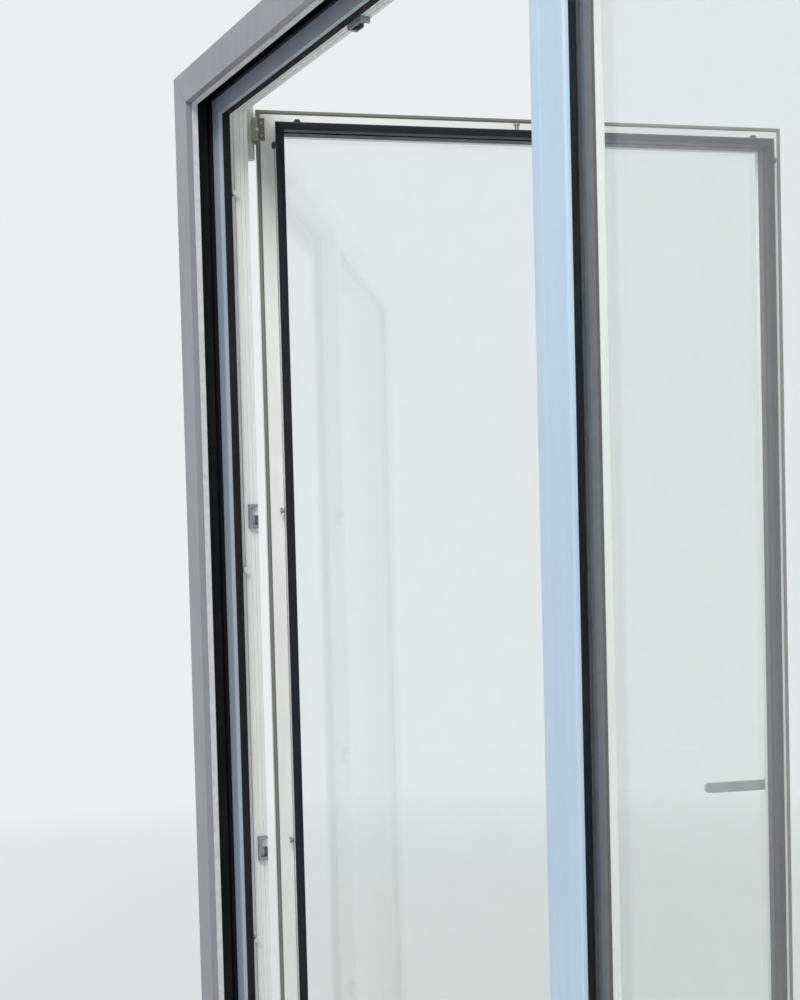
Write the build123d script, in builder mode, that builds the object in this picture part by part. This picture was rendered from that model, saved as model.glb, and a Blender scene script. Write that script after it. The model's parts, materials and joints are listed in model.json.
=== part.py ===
from build123d import *
from math import cos, radians, sin
import os

os.makedirs("parts", exist_ok=True)

# A framed glass entrance door: an inward-opening glazed leaf on the left of a mullion
# and a fixed light on the right. Millimetres, +Z up, +X to the right seen from outside,
# +Y into the building. The origin is under the sill, at the middle of its length and
# of its depth. Sections are drawn as (a, d): a runs from a ring's outer edge towards
# its middle, and d runs from the frame's front face into the building.

# Whole frame
frame_width = 2052.0
frame_height = 2350.0
frame_depth = 60.0
lip_reach = 71.5          # outer edge of the frame to the edge of its front lip
rebate_reach = 54.0       # outer edge of the frame to the face that the leaf closes into
mullion_face = 66.0
cladding_depth = 7.0
cladding_wall = 1.8
lip_back = 11.0           # depth of the back of the frame's own lip
lip_core_reach = 64.0
frame_wall = 3.5
fixing_band = 12.0        # solid band between the two chambers, for the fixing screws
groove_width = 1.2
groove_depths = (33.0, 45.0, 52.5)
fixing_radius = 4.0
fixing_end = 200.0        # end of a jamb to its first fixing hole
fixing_count = 4

# Trim that stands in front of the frame round the reveal
trim_depth = 52.0
trim_reach = 54.0
trim_wall = 2.0
slot_front = 31.0         # distance of the slot's front side from the frame's face
slot_back = 6.0
slot_bottom_reach = 30.0
rear_leg_reach = 44.5
strip_front = 41.0
strip_thickness = 1.6
slot_seal_thickness = 3.0

# Sill flashing
flashing_sheet = 2.0
flashing_reach = 78.0
flashing_top = 34.0
flashing_fall = 12.0
flashing_nose = 16.0
flashing_upstand = 22.0
flashing_end_gap = 1.0
weep_cap_width = 34.0
weep_cap_height = 9.0
weep_cap_thickness = 3.0
weep_gap = 1.5            # top of the flashing's upstand to a weep cap
weep_inset = 180.0

# Leaf
leaf_open = 72.0          # opening angle as modelled
side_gap = 12.0
top_gap = 22.0
leaf_front = 22.0         # depth of the leaf's outer face behind the frame's front
leaf_depth = 62.0
flange_reach = 30.0       # how far the leaf's inner flange passes its body edge
flange_gap = 3.0
flange_seal_width = 7.0
leaf_sightline = 14.5
leaf_web = 7.0
leaf_wall = 2.5
leaf_cladding_sheet = 1.6
leaf_cladding_plate = 2.0
leaf_edge_return = 8.0
leaf_lip_depth = 16.0
seal_clearance = 0.4

# Glazing
gasket_thickness = 3.0
leaf_gasket_thickness = 4.0
pane = 4.0
fixed_cavity = 20.0
leaf_cavity = 16.0
fixed_glass_gap = 5.0     # edge of the glass to the bottom of its rebate
leaf_glass_gap = 2.0
sealant_height = 5.0
spacer_height = 8.5
leaf_sealant_height = 2.0
leaf_spacer_height = 4.0
packer_length = 100.0
packer_inset = 130.0
bead_chamfer = 3.0
bead_joint = 0.3          # open joint between two beads in a corner

# Lock: rods that slide under faceplates, with mushroom cams that enter keeps
hardware_depth = 49.0     # depth of the centre line of the leaf's hardware groove
faceplate_width = 16.0
faceplate_thickness = 2.0
rod_width = 12.0
rod_thickness = 2.4
rod_clearance = 0.3
rod_travel = 18.0
rod_end_gap = 60.0
faceplate_end_gap = 30.0
cam_neck_radius = 3.5
cam_head_radius = 5.5
cam_head_thickness = 3.0
cam_clearance = 0.5
keep_length = 42.0
keep_height = 8.0
keep_base = 1.5
keep_wall = 2.0
keep_reach_in = 5.0       # distance of a cam's head from the frame
jamb_cam_heights = (434.0, 1018.0, 1602.0)
head_cam_offset = 487.0   # from the leaf's hinge-side reveal line
block_inset = 39.0        # leaf's corner to the middle of an edge block
block_length = 11.0
block_height = 6.0
block_depth = 9.0
tab_length = 12.0
tab_bite = 5.0            # how far the rod's tab reaches into the gearbox

# Hinges
hinge_inset = 27.0        # outer edge of the frame to the hinge axis
hinge_axis_depth = 77.0
knuckle_radius = 7.0
pin_radius = 3.0
pin_clearance = 0.06
knuckle_gap = 0.3
hinge_plate = 3.0
hinge_flap_width = 34.0
hinge_web_gap = 1.5       # leaf's flange to the web between barrel and flap
hinge_arm_height = 39.0   # height of the web, the flap and the hook
hinge_hook_lap = 8.0      # how far the hook laps over the flange past its seal
hinge_hook_gap = 0.6      # face of the frame to the hook that sits in the flange's seal seat
hinge_hook_web = 5.5
hinge_notch_gap = 0.3     # hook to the cut ends of the flange's seal
leaf_knuckle = 63.0
frame_knuckle = 30.0
hinge_top_rise = 9.0      # top of the leaf's flange up to the top of the leaf's knuckle
hinge_bottom_gap = 10.0
hinge_plate_reach = 13.0  # hinge axis to the outer edge of the plate on the frame
hinge_cap = 3.0
hinge_screw_radius = 2.2
hinge_screw_head = 4.2

# Handle
handle_height = 1050.0
handle_inset = 11.0       # leaf's body edge to the spindle, towards the flange
rosette_width = 28.0
rosette_height = 72.0
rosette_thickness = 10.0
rosette_round = 9.0
rosette_chamfer = 2.5
spindle_side = 7.0
neck_radius = 8.5
neck_length = 42.0
lever_length = 128.0
lever_width = 20.0
lever_thickness = 11.0
lever_chamfer = 3.0
handle_clearance = 0.3
gearbox_height = 120.0
gearbox_width = 26.0
gearbox_depth = 11.0

# Values that follow from the sizes above
mid = frame_depth / 2
fixing_pitch = (frame_height - 2 * fixing_end) / (fixing_count - 1)
fixing_heights = [fixing_end + place * fixing_pitch for place in range(fixing_count)]
mullion_offset = lip_reach - mullion_face / 2
frame_rect = (-frame_width / 2, 0.0, frame_width / 2, frame_height)
door_rect = (-frame_width / 2, 0.0, mullion_offset, frame_height)
fixed_rect = (-mullion_offset, 0.0, frame_width / 2, frame_height)
leaf_rect = (
    door_rect[0] + rebate_reach + side_gap,
    rebate_reach + side_gap,
    door_rect[2] - rebate_reach - side_gap,
    frame_height - rebate_reach - top_gap,
)
leaf_back = leaf_front + leaf_depth
flange_front = frame_depth + flange_gap
flange_seat = flange_front + flange_gap
leaf_glass_front = leaf_front + leaf_lip_depth + leaf_gasket_thickness
leaf_glass_back = leaf_glass_front + 2 * pane + leaf_cavity
fixed_glass_front = lip_back + leaf_gasket_thickness
fixed_glass_back = fixed_glass_front + 2 * pane + fixed_cavity
groove_half = faceplate_width / 2
channel_half = rod_width / 2 + 0.5
channel_bottom = faceplate_thickness + rod_thickness + 2 * rod_clearance
rod_top = faceplate_thickness + rod_clearance
hinge_x = door_rect[0] + hinge_inset
hinge_axis = Axis((hinge_x, hinge_axis_depth - mid, 0), (0, 0, 1))
gearbox_front = flange_seat + leaf_wall


# Helpers

def save(piece, name, swings=False):
    # A piece of the leaf is drawn with the leaf closed and swung open at the end.
    if swings:
        piece.part = piece.part.rotate(hinge_axis, leaf_open)
    piece.part.label = name
    export_step(piece.part, f"parts/{name}.step")


def side_plane(side, rect):
    # Local x runs inward, local y into the building, local z along the bar.
    x0, z0, x1, z1 = rect
    places = {
        "left": ((x0, 0, z0), (1, 0, 0), (0, 0, 1), z1 - z0),
        "top": ((x0, 0, z1), (0, 0, -1), (1, 0, 0), x1 - x0),
        "right": ((x1, 0, z1), (-1, 0, 0), (0, 0, -1), z1 - z0),
        "bottom": ((x1, 0, z0), (0, 0, 1), (-1, 0, 0), x1 - x0),
    }
    corner, inward, along, length = places[side]
    return Plane(origin=corner, x_dir=inward, z_dir=along), length


def section(outline, chambers=()):
    with BuildSketch(Plane.XY) as shape:
        with BuildLine():
            Polyline(*[(a, d - mid) for a, d in outline], close=True)
        make_face()
        for a0, d0, a1, d1 in chambers:
            with Locations(((a0 + a1) / 2, (d0 + d1) / 2 - mid)):
                Rectangle(a1 - a0, d1 - d0, mode=Mode.SUBTRACT)
    return shape.sketch


def bar(side, rect, outline, chambers=(), mitres=(True, True), joint=0.0):
    # One straight bar of a rectangular ring, mitred where it meets its neighbours.
    # joint is the width of the open joint that it leaves there.
    plane, length = side_plane(side, rect)
    past = max(0.0, -min(a for a, d in outline))
    start_past = past if mitres[0] else 0.0
    end_past = past if mitres[1] else 0.0
    shape = section(outline, chambers)
    with BuildPart() as piece:
        with BuildSketch(plane.offset(-start_past)):
            add(shape)
        extrude(amount=length + start_past + end_past)
        set_back = joint / 2 ** 0.5
        if mitres[0]:
            start = plane.origin + plane.z_dir * set_back
            split(bisect_by=Plane(start, plane.y_dir, plane.z_dir - plane.x_dir), keep=Keep.TOP)
        if mitres[1]:
            end = plane.origin + plane.z_dir * (length - set_back)
            split(bisect_by=Plane(end, plane.y_dir, -plane.z_dir - plane.x_dir), keep=Keep.TOP)
    return piece.part


def ring(rect, outline, joint=0.0):
    # A ring of four bars: one moulded piece, or four lengths if the joint is open.
    with BuildPart() as piece:
        for side in ("left", "top", "right", "bottom"):
            add(bar(side, rect, outline, joint=joint))
    return piece


def sheet_of_glass(rect, inset, front):
    # A pane parallel to the frame, its edge set in from the ring's outer edge.
    x0, z0, x1, z1 = rect
    with BuildPart() as piece:
        with BuildSketch(Plane.XZ.offset(mid - front)):
            with Locations(((x0 + x1) / 2, (z0 + z1) / 2)):
                Rectangle(x1 - x0 - 2 * inset, z1 - z0 - 2 * inset)
        extrude(amount=-pane)
    return piece


def block(x0, x1, d0, d1, z0, z1):
    # A box given by its limits, inside the builder that is open.
    with Locations(((x0 + x1) / 2, (d0 + d1) / 2 - mid, (z0 + z1) / 2)):
        Box(x1 - x0, d1 - d0, z1 - z0)


# Frame members

frame_outline = [
    (0, cladding_depth),
    (lip_core_reach, cladding_depth),
    (lip_core_reach, lip_back),
    (rebate_reach, lip_back),
]
for groove in groove_depths:
    frame_outline += [
        (rebate_reach, groove - groove_width / 2),
        (rebate_reach - groove_width, groove - groove_width / 2),
        (rebate_reach - groove_width, groove + groove_width / 2),
        (rebate_reach, groove + groove_width / 2),
    ]
frame_outline += [(rebate_reach, frame_depth), (0, frame_depth)]
chamber_reach = rebate_reach - frame_wall
frame_chambers = [
    (frame_wall, lip_back + frame_wall, chamber_reach, mid - fixing_band / 2),
    (frame_wall, mid + fixing_band / 2, chamber_reach, frame_depth - frame_wall),
]
cladding_outline = [
    (0, 0),
    (lip_reach, 0),
    (lip_reach, cladding_depth),
    (lip_reach - cladding_wall, cladding_depth),
    (lip_reach - cladding_wall, cladding_wall),
    (cladding_wall, cladding_wall),
    (cladding_wall, cladding_depth),
    (0, cladding_depth),
]
member_names = {"left": "jamb_left", "right": "jamb_right", "top": "head", "bottom": "sill"}
for side, name in member_names.items():
    with BuildPart() as member:
        add(bar(side, frame_rect, frame_outline, frame_chambers))
        if side in ("left", "right"):
            outer_face = frame_rect[0] if side == "left" else frame_rect[2] - rebate_reach
            with BuildSketch(Plane.YZ.offset(outer_face)):
                with Locations(*[(0, height) for height in fixing_heights]):
                    Circle(fixing_radius)
            extrude(amount=rebate_reach, mode=Mode.SUBTRACT)
    save(member, name)

    with BuildPart() as cladding:
        add(bar(side, frame_rect, cladding_outline))
    save(cladding, name + "_cladding")

# Mullion between the door and the fixed light
web_half = mullion_face / 2 - (lip_reach - rebate_reach)
mullion_lip_half = mullion_face / 2 - (lip_reach - lip_core_reach)
mullion_section = section(
    [(-web_half, lip_back), (web_half, lip_back), (web_half, frame_depth), (-web_half, frame_depth)],
    [(-web_half + frame_wall, lip_back + frame_wall, web_half - frame_wall, frame_depth - frame_wall)],
)
with BuildPart() as mullion:
    with BuildSketch(Plane.XY.offset(rebate_reach)):
        add(mullion_section)
    extrude(amount=frame_height - 2 * rebate_reach)
    block(
        -mullion_lip_half, mullion_lip_half, cladding_depth, lip_back,
        lip_core_reach, frame_height - lip_core_reach,
    )
save(mullion, "mullion")

mullion_line = 13.0        # the fine line down the mullion's face, left of its middle
line_depth = 0.5
half = mullion_face / 2
mullion_cladding_section = section([
    (-half, 0),
    (-mullion_line - line_depth, 0),
    (-mullion_line, line_depth),
    (-mullion_line + line_depth, 0),
    (half, 0),
    (half, cladding_depth),
    (half - cladding_wall, cladding_depth),
    (half - cladding_wall, cladding_wall),
    (-half + cladding_wall, cladding_wall),
    (-half + cladding_wall, cladding_depth),
    (-half, cladding_depth),
])
with BuildPart() as mullion_cladding:
    with BuildSketch(Plane.XY.offset(lip_reach)):
        add(mullion_cladding_section)
    extrude(amount=frame_height - 2 * lip_reach)
save(mullion_cladding, "mullion_cladding")

# Trim round the reveal, with its slot facing the opening
trim_outline = [
    (0, -trim_depth),
    (trim_reach, -trim_depth),
    (trim_reach, -slot_front),
    (slot_bottom_reach, -slot_front),
    (slot_bottom_reach, -slot_back),
    (rear_leg_reach, -slot_back),
    (rear_leg_reach, 0),
    (0, 0),
]
trim_chambers = [
    (trim_wall, -trim_depth + trim_wall, trim_reach - trim_wall, -slot_front - trim_wall),
    (trim_wall, -slot_front + trim_wall, slot_bottom_reach - trim_wall, -slot_back - trim_wall),
]
strip_outline = [
    (trim_reach, -strip_front),
    (trim_reach + strip_thickness, -strip_front),
    (trim_reach + strip_thickness, -slot_front),
    (trim_reach, -slot_front),
]
slot_seal_outline = [
    (slot_bottom_reach, -slot_front),
    (slot_bottom_reach + slot_seal_thickness, -slot_front),
    (slot_bottom_reach + slot_seal_thickness, -slot_back),
    (slot_bottom_reach, -slot_back),
]
trim_sides = {"left": (False, True), "top": (True, True), "right": (True, False)}
trim_names = {"left": "trim_left", "top": "trim_head", "right": "trim_right"}
for side, mitres in trim_sides.items():
    with BuildPart() as trim:
        add(bar(side, frame_rect, trim_outline, trim_chambers, mitres))
    save(trim, trim_names[side])

for outline, name in ((strip_outline, "trim_edge_strip"), (slot_seal_outline, "trim_slot_seal")):
    with BuildPart() as lining:
        for side, mitres in trim_sides.items():
            add(bar(side, frame_rect, outline, (), mitres))
    save(lining, name)

# Folded sill flashing between the two side trims
flashing_half = frame_width / 2 - trim_reach - strip_thickness - flashing_end_gap
nose = flashing_top - flashing_fall
with BuildPart() as sill_flashing:
    with BuildSketch(Plane.YZ.offset(-flashing_half)):
        with BuildLine():
            Polyline(
                (-mid, flashing_top + flashing_upstand),
                (-mid, flashing_top - flashing_sheet),
                (-mid - flashing_reach + flashing_sheet, nose - flashing_sheet),
                (-mid - flashing_reach + flashing_sheet, nose - flashing_nose),
                (-mid - flashing_reach, nose - flashing_nose),
                (-mid - flashing_reach, nose),
                (-mid - flashing_sheet, flashing_top),
                (-mid - flashing_sheet, flashing_top + flashing_upstand),
                close=True,
            )
        make_face()
    extrude(amount=2 * flashing_half)
save(sill_flashing, "sill_flashing")

# Hooded caps over the drain slots in the sill's cladding
weep_low = flashing_top + flashing_upstand + weep_gap
with BuildPart() as weep_caps:
    for x0, x1 in ((door_rect[0], door_rect[2]), (fixed_rect[0], fixed_rect[2])):
        for x in (x0 + weep_inset, x1 - weep_inset):
            with BuildSketch(Plane.YZ.offset(x - weep_cap_width / 2)):
                with BuildLine():
                    Polyline(
                        (-mid, weep_low),
                        (-mid - weep_cap_thickness, weep_low),
                        (-mid - weep_cap_thickness, weep_low + weep_cap_height * 0.6),
                        (-mid, weep_low + weep_cap_height),
                        close=True,
                    )
                make_face()
            extrude(amount=weep_cap_width)
save(weep_caps, "weep_caps")

# Seal in the frame's lip that the leaf closes against
seal_tip = leaf_front - seal_clearance
seal_edge = lip_reach - 0.3
with BuildPart() as door_seal:
    door_seal_outline = [
        (lip_core_reach, cladding_depth),
        (seal_edge, cladding_depth),
        (seal_edge, lip_back + 2),
        (seal_edge - 1.5, seal_tip),
        (rebate_reach + side_gap + 1, seal_tip),
        (rebate_reach + side_gap - 1, lip_back + 5),
        (lip_core_reach - 3, lip_back + 2),
        (lip_core_reach - 3, lip_back),
        (lip_core_reach, lip_back),
    ]
    for side in ("left", "top", "right", "bottom"):
        add(bar(side, door_rect, door_seal_outline))
save(door_seal, "door_seal")


# Insulating glass, its gaskets, beads and packers

def glaze(prefix, rect, gap, front, cavity, sealant, spacer, sightline, bottom, swings):
    # Two panes with a spacer and edge sealant between them, standing on packers.
    # bottom is the reach of the glazing rebate, and gap the room round the glass.
    edge = bottom + gap
    back = front + 2 * pane + cavity
    save(sheet_of_glass(rect, edge, front), prefix + "_pane_outer", swings)
    save(sheet_of_glass(rect, edge, back - pane), prefix + "_pane_inner", swings)

    inner = edge + sealant
    rows = {
        "_edge_sealant": [(edge, front + pane), (inner, front + pane),
                          (inner, back - pane), (edge, back - pane)],
        "_spacer": [(inner, front + pane), (inner + spacer, front + pane),
                    (inner + spacer, back - pane), (inner, back - pane)],
        "_gasket_inner": [(edge + 1, back), (sightline - 0.3, back),
                          (sightline - 0.3, back + gasket_thickness), (edge + 1, back + gasket_thickness)],
    }
    for name, outline in rows.items():
        save(ring(rect, outline), prefix + name, swings)

    x0, z0, x1, z1 = rect
    with BuildPart() as packers:
        for x in (x0 + bottom + packer_inset, x1 - bottom - packer_inset):
            for low in (z0 + bottom, z1 - edge):
                block(x - packer_length / 2, x + packer_length / 2, front, back, low, low + gap)
    save(packers, prefix + "_packers", swings)


def beads(prefix, rect, bottom, sightline, front, back, swings):
    outline = [
        (bottom, front),
        (sightline, front),
        (sightline, back - bead_chamfer),
        (sightline - bead_chamfer, back),
        (bottom, back),
    ]
    save(ring(rect, outline, bead_joint), prefix + "_beads", swings)


glaze(
    "fixed", fixed_rect, fixed_glass_gap, fixed_glass_front, fixed_cavity,
    sealant_height, spacer_height, lip_reach, rebate_reach, False,
)
beads("fixed", fixed_rect, rebate_reach, lip_reach, fixed_glass_back + gasket_thickness, frame_depth, False)
fixed_gasket_outline = [
    (lip_core_reach, cladding_depth),
    (seal_edge, cladding_depth),
    (seal_edge, fixed_glass_front),
    (rebate_reach + fixed_glass_gap + 0.5, fixed_glass_front),
    (rebate_reach + fixed_glass_gap + 0.5, lip_back),
    (lip_core_reach, lip_back),
]
save(ring(fixed_rect, fixed_gasket_outline), "fixed_gasket_outer")

# Where the hinges sit
flange_top = leaf_rect[3] + flange_reach
flange_bottom = leaf_rect[1] - flange_reach
hinge_levels = {
    "top": flange_top + hinge_top_rise - leaf_knuckle,
    "bottom": flange_bottom + hinge_bottom_gap + frame_knuckle + knuckle_gap,
}
tip_x = leaf_rect[0] - flange_reach
hook_front = frame_depth + hinge_hook_gap

# Leaf members: a front lip, a thin web with the hardware groove, and the inner flange
lip_end = leaf_front + leaf_lip_depth
edge_start = leaf_front + leaf_edge_return
lip_front = leaf_front + leaf_cladding_plate
lip_outer = leaf_cladding_sheet
lip_inner = leaf_sightline - leaf_cladding_sheet
leaf_outline = [
    (lip_outer, lip_front),
    (lip_inner, lip_front),
    (lip_inner, lip_end),
    (leaf_web, lip_end),
    (leaf_web, leaf_back),
    (-flange_reach, leaf_back),
    (-flange_reach, flange_seat),
    (-flange_reach + flange_seal_width, flange_seat),
    (-flange_reach + flange_seal_width, flange_front),
    (0, flange_front),
    (0, hardware_depth + groove_half),
    (faceplate_thickness, hardware_depth + groove_half),
    (faceplate_thickness, hardware_depth + channel_half),
    (channel_bottom, hardware_depth + channel_half),
    (channel_bottom, hardware_depth - channel_half),
    (faceplate_thickness, hardware_depth - channel_half),
    (faceplate_thickness, hardware_depth - groove_half),
    (0, hardware_depth - groove_half),
    (0, edge_start),
    (lip_outer, edge_start),
]
leaf_chamber = (
    -flange_reach + leaf_wall, flange_seat + leaf_wall, leaf_web - leaf_wall, leaf_back - leaf_wall,
)
leaf_cladding_outline = [
    (0, leaf_front),
    (leaf_sightline, leaf_front),
    (leaf_sightline, lip_end),
    (lip_inner, lip_end),
    (lip_inner, lip_front),
    (lip_outer, lip_front),
    (lip_outer, edge_start),
    (0, edge_start),
]
spindle_x = leaf_rect[2] + handle_inset
tab_slot = (
    channel_bottom - faceplate_thickness,
    gearbox_front + tab_bite - hardware_depth,
    rod_travel + tab_length + 2 * cam_clearance,
)
leaf_names = {
    "left": "leaf_stile_hinge_side",
    "right": "leaf_stile_lock_side",
    "top": "leaf_rail_top",
    "bottom": "leaf_rail_bottom",
}
for side, name in leaf_names.items():
    with BuildPart() as member:
        add(bar(side, leaf_rect, leaf_outline, [leaf_chamber]))
        if side == "right":
            with BuildSketch(Plane.XZ.offset(mid - leaf_back)):
                with Locations((spindle_x, handle_height)):
                    Circle(spindle_side)
            extrude(amount=leaf_wall, mode=Mode.SUBTRACT)
            with Locations((
                leaf_rect[2] - (faceplate_thickness + channel_bottom) / 2,
                (hardware_depth + gearbox_front + tab_bite) / 2 - mid,
                handle_height + rod_travel / 2,
            )):
                Box(*tab_slot, mode=Mode.SUBTRACT)
    save(member, name, True)

    with BuildPart() as cladding:
        add(bar(side, leaf_rect, leaf_cladding_outline))
    save(cladding, name + "_cladding", True)

glaze(
    "leaf", leaf_rect, leaf_glass_gap, leaf_glass_front, leaf_cavity,
    leaf_sealant_height, leaf_spacer_height, leaf_sightline, leaf_web, True,
)
beads("leaf", leaf_rect, leaf_web, leaf_sightline, leaf_glass_back + gasket_thickness, leaf_back, True)
leaf_gasket_outline = [
    (leaf_web + leaf_glass_gap, lip_end),
    (leaf_sightline - 0.3, lip_end),
    (leaf_sightline - 1.0, leaf_glass_front),
    (leaf_web + leaf_glass_gap, leaf_glass_front),
]
save(ring(leaf_rect, leaf_gasket_outline), "leaf_gasket_outer", True)
flange_seal_outline = [
    (-flange_reach, flange_seat),
    (-flange_reach + flange_seal_width, flange_seat),
    (-flange_reach + flange_seal_width, flange_front),
    (-flange_reach + flange_seal_width - 2, frame_depth + seal_clearance),
    (-flange_reach + 2, frame_depth + seal_clearance),
    (-flange_reach, flange_front),
]
flange_seal = ring(leaf_rect, flange_seal_outline)
with flange_seal:
    notch_width = 2 * flange_seal_width
    notch_height = hinge_arm_height + 2 * hinge_notch_gap
    for eye_low in hinge_levels.values():
        with Locations((tip_x, flange_front - mid, eye_low + hinge_arm_height / 2)):
            Box(notch_width, 2 * flange_gap, notch_height, mode=Mode.SUBTRACT)
save(flange_seal, "leaf_flange_seal", True)


# Lock

def cam_line(side):
    # The plane of a leaf edge's groove: local x along the bar, local z out of the leaf.
    plane, length = side_plane(side, leaf_rect)
    origin = plane.origin + plane.y_dir * (hardware_depth - mid)
    return Plane(origin, x_dir=plane.z_dir, z_dir=-plane.x_dir), length


leaf_height = leaf_rect[3] - leaf_rect[1]
cam_sets = {
    "left": ("hinge", [height - leaf_rect[1] for height in jamb_cam_heights], side_gap, -1),
    "top": ("top", [frame_rect[0] + (lip_reach - 52.5) + head_cam_offset - leaf_rect[0]], top_gap, -1),
    "right": ("lock", [leaf_rect[3] - height for height in jamb_cam_heights], side_gap, -1),
}
with BuildPart() as faceplates:
    for side, (name, places, gap, way) in cam_sets.items():
        line, length = cam_line(side)
        with BuildSketch(line.offset(-faceplate_thickness)):
            with Locations((length / 2, 0)):
                Rectangle(length - 2 * faceplate_end_gap, faceplate_width)
            with Locations(*[(place + way * rod_travel / 2, 0) for place in places]):
                SlotCenterToCenter(rod_travel, 2 * (cam_neck_radius + cam_clearance), mode=Mode.SUBTRACT)
        extrude(amount=faceplate_thickness)
save(faceplates, "faceplates", True)

for side, (name, places, gap, way) in cam_sets.items():
    line, length = cam_line(side)
    rod_low = -rod_top - rod_thickness
    with BuildPart() as rod:
        with BuildSketch(line.offset(rod_low)):
            with Locations((length / 2, 0)):
                Rectangle(length - 2 * rod_end_gap, rod_width)
        extrude(amount=rod_thickness)
        if side == "right":
            tab_deep = gearbox_front + tab_bite - rod_clearance - hardware_depth
            with BuildSketch(line.offset(rod_low)):
                with Locations((leaf_rect[3] - handle_height, tab_deep / 2)):
                    Rectangle(tab_length, tab_deep)
            extrude(amount=rod_thickness)
        head_top = gap - keep_reach_in
        with BuildSketch(line.offset(-rod_top)):
            with Locations(*[(place, 0) for place in places]):
                Circle(cam_neck_radius)
        extrude(amount=rod_top + head_top - cam_head_thickness)
        with BuildSketch(line.offset(head_top - cam_head_thickness)):
            with Locations(*[(place, 0) for place in places]):
                Circle(cam_head_radius)
        extrude(amount=cam_head_thickness)
    save(rod, name + "_rod", True)

with BuildPart() as keeps:
    keep_half = cam_head_radius + cam_clearance + keep_wall
    slot_half = cam_head_radius + cam_clearance
    for side, (name, places, gap, way) in cam_sets.items():
        line, length = cam_line(side)
        with BuildSketch(line.offset(gap - keep_height)):
            with Locations(*[(place + way * rod_travel / 2, 0) for place in places]):
                Rectangle(keep_length, 2 * keep_half)
                Rectangle(rod_travel + 2 * slot_half, 2 * slot_half, mode=Mode.SUBTRACT)
            with Locations(*[(place, keep_half / 2) for place in places]):
                Rectangle(2 * slot_half + 2, keep_half, mode=Mode.SUBTRACT)
        extrude(amount=keep_height - keep_base)
        with BuildSketch(line.offset(gap - keep_base)):
            with Locations(*[(place + way * rod_travel / 2, 0) for place in places]):
                Rectangle(keep_length, 2 * keep_half)
            with Locations(*[(place, keep_half / 2) for place in places]):
                Rectangle(2 * slot_half + 2, keep_half, mode=Mode.SUBTRACT)
        extrude(amount=keep_base)
save(keeps, "keeps")

# Blocks near the leaf's corners that centre it as it closes
with BuildPart() as edge_blocks:
    for side in ("left", "top", "right", "bottom"):
        plane, length = side_plane(side, leaf_rect)
        for place in (block_inset, length - block_inset):
            with BuildSketch(Plane(plane.origin + plane.z_dir * (place - block_length / 2),
                                   x_dir=plane.x_dir, z_dir=plane.z_dir)):
                with Locations((-block_height / 2, (edge_start + block_depth / 2 + 1) - mid)):
                    Rectangle(block_height, block_depth)
            extrude(amount=block_length)
    chamfer(edge_blocks.edges().filter_by(Axis.Y), block_height * 0.4)
save(edge_blocks, "leaf_edge_blocks", True)

# Gearbox in the lock stile's chamber
gear_x = leaf_rect[2] - leaf_web + leaf_wall + rod_clearance
with BuildPart() as gearbox:
    block(
        gear_x, gear_x + gearbox_width, gearbox_front, gearbox_front + gearbox_depth,
        handle_height - gearbox_height / 2, handle_height + gearbox_height / 2,
    )
    with Locations((
        leaf_rect[2] - (faceplate_thickness + channel_bottom) / 2,
        (hardware_depth + gearbox_front + tab_bite) / 2 - mid,
        handle_height + rod_travel / 2,
    )):
        Box(*tab_slot, mode=Mode.SUBTRACT)
    with BuildSketch(Plane.XZ.offset(mid - gearbox_front)):
        with Locations((spindle_x, handle_height)):
            Circle(spindle_side * 0.75)
    extrude(amount=-gearbox_depth, mode=Mode.SUBTRACT)
save(gearbox, "gearbox", True)

# Handle: rosette on the leaf, lever and spindle that turn together
handle_plane = Plane(
    origin=(spindle_x, leaf_back - mid, handle_height), x_dir=(-1, 0, 0), z_dir=(0, 1, 0)
)
with BuildPart() as rosette:
    with BuildSketch(handle_plane):
        RectangleRounded(rosette_width, rosette_height, rosette_round)
    extrude(amount=rosette_thickness)
    chamfer(rosette.faces().sort_by(Axis.Y)[-1].outer_wire().edges(), rosette_chamfer)
    with BuildSketch(handle_plane):
        Circle(spindle_side * 0.85)
    extrude(amount=rosette_thickness, mode=Mode.SUBTRACT)
save(rosette, "handle_rosette", True)

neck_start = rosette_thickness + handle_clearance
lever_level = neck_start + neck_length
with BuildPart() as lever:
    with BuildSketch(handle_plane.offset(neck_start)):
        Circle(neck_radius)
    extrude(amount=neck_length)
    with BuildSketch(handle_plane.offset(lever_level - lever_thickness)):
        with Locations((lever_length / 2 - lever_width / 4, 0)):
            SlotOverall(lever_length + lever_width / 2, lever_width)
    extrude(amount=lever_thickness)
    chamfer(lever.faces().sort_by(Axis.Y)[-1].outer_wire().edges(), lever_chamfer)
    with BuildSketch(handle_plane.offset(neck_start)):
        Rectangle(spindle_side, spindle_side)
    extrude(amount=neck_length / 2, mode=Mode.SUBTRACT)
save(lever, "handle_lever", True)

with BuildPart() as spindle:
    spindle_start = gearbox_front + handle_clearance - leaf_back
    with BuildSketch(handle_plane.offset(spindle_start)):
        Rectangle(spindle_side, spindle_side)
    extrude(amount=neck_start + neck_length / 2 - spindle_start)
save(spindle, "handle_spindle", True)

# Hinges: a bearing on the frame, an eye with a flap on the leaf, and a pin
def barrel(low, height, radius, mode=Mode.ADD):
    # A cylinder on the hinge axis, inside the builder that is open.
    with Locations((hinge_x, hinge_axis_depth - mid, low + height / 2)):
        Cylinder(radius, height, mode=mode)


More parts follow.
